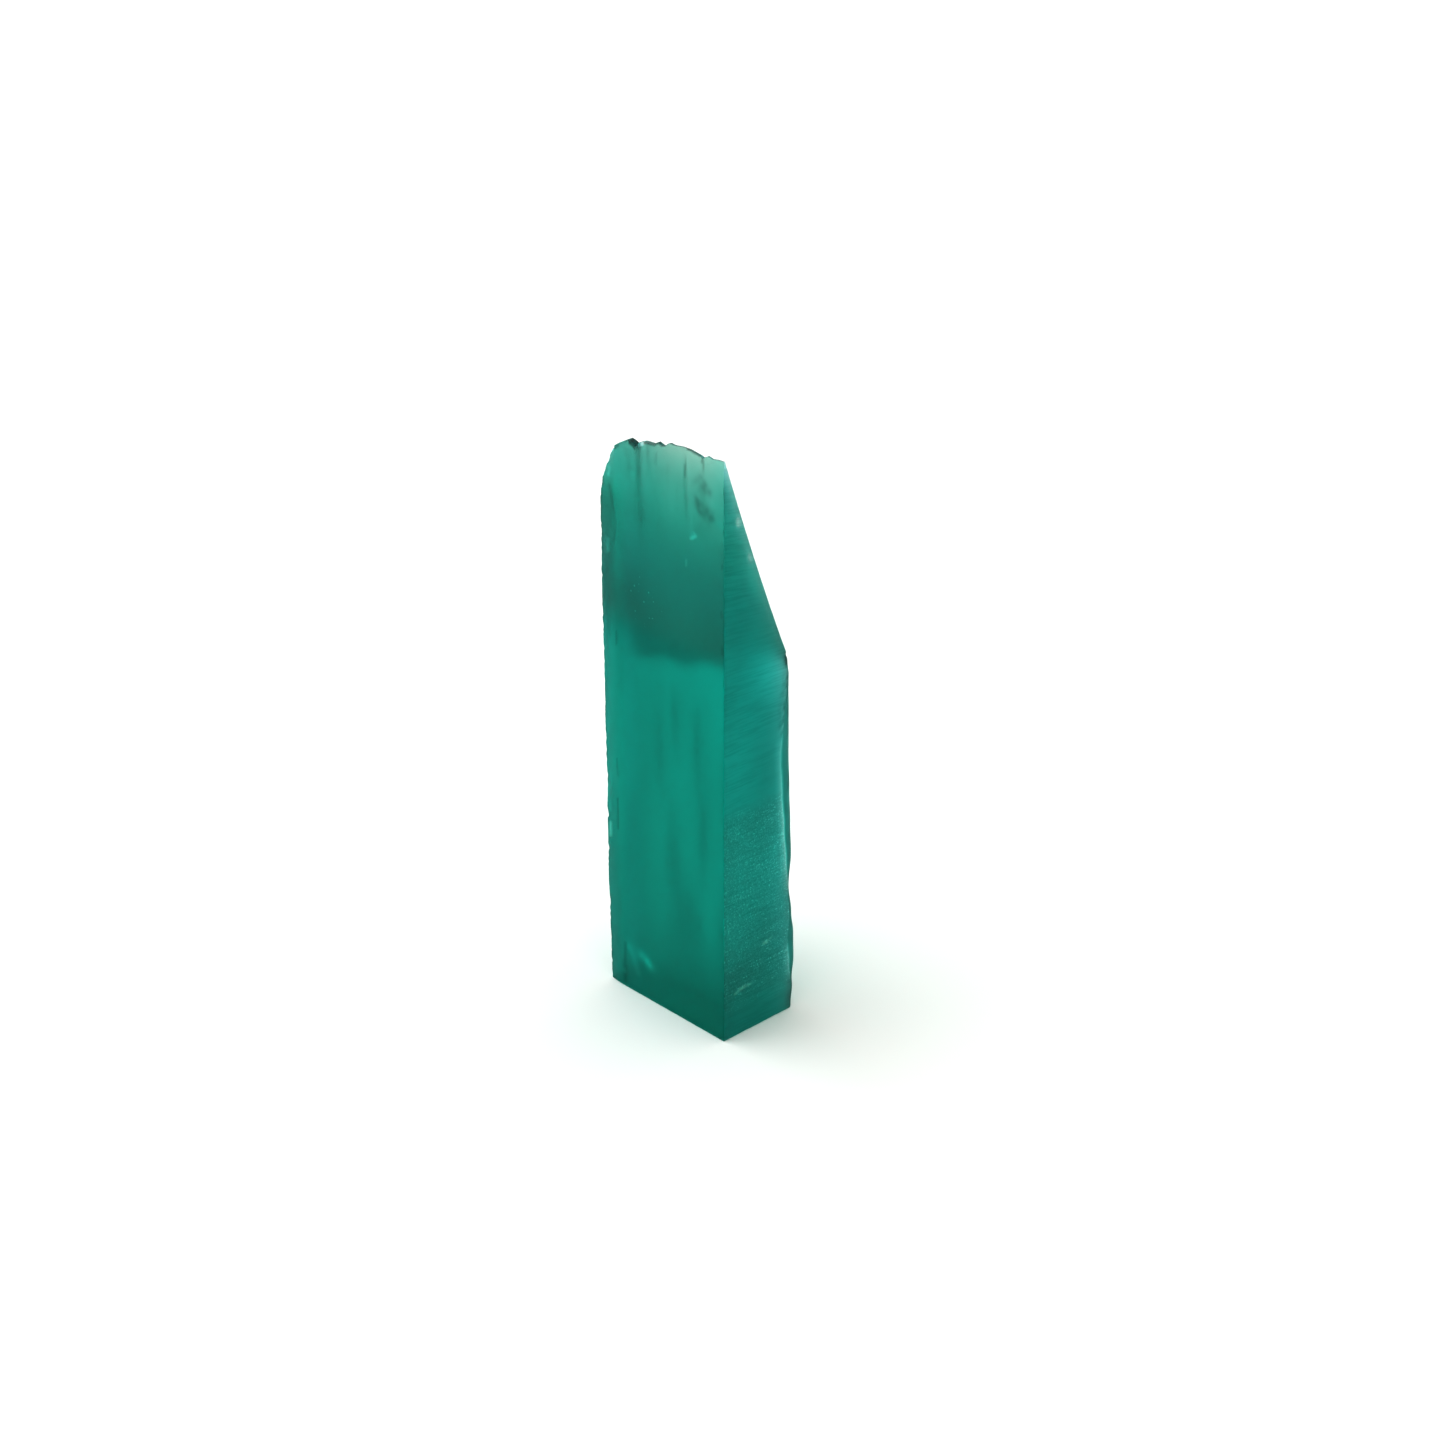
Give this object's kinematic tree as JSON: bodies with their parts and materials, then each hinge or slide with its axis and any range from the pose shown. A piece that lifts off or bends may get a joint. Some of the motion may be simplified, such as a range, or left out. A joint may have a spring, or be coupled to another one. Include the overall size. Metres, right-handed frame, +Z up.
{
  "type": "emerald crystal",
  "caption": "Upright bar of clear blue-green emerald rough: sawn front, side and base, grown wavy back, and a sloped top that ends in a broken thin edge.",
  "frame": {"origin": "centre of the bounding box at the sawn base, on the surface it stands on", "axes": "+Z up along the bar; -Y faces out of the broad sawn front face; +X faces out of the narrow sawn side"},
  "size_m": [0.0112, 0.0076, 0.04],
  "materials": {
    "emerald": "clear blue-green crystal, satin where sawn, frosted on the slope"
  },
  "bodies": {
    "root": {"emerald_crystal": "emerald"}
  },
  "joints": []
}
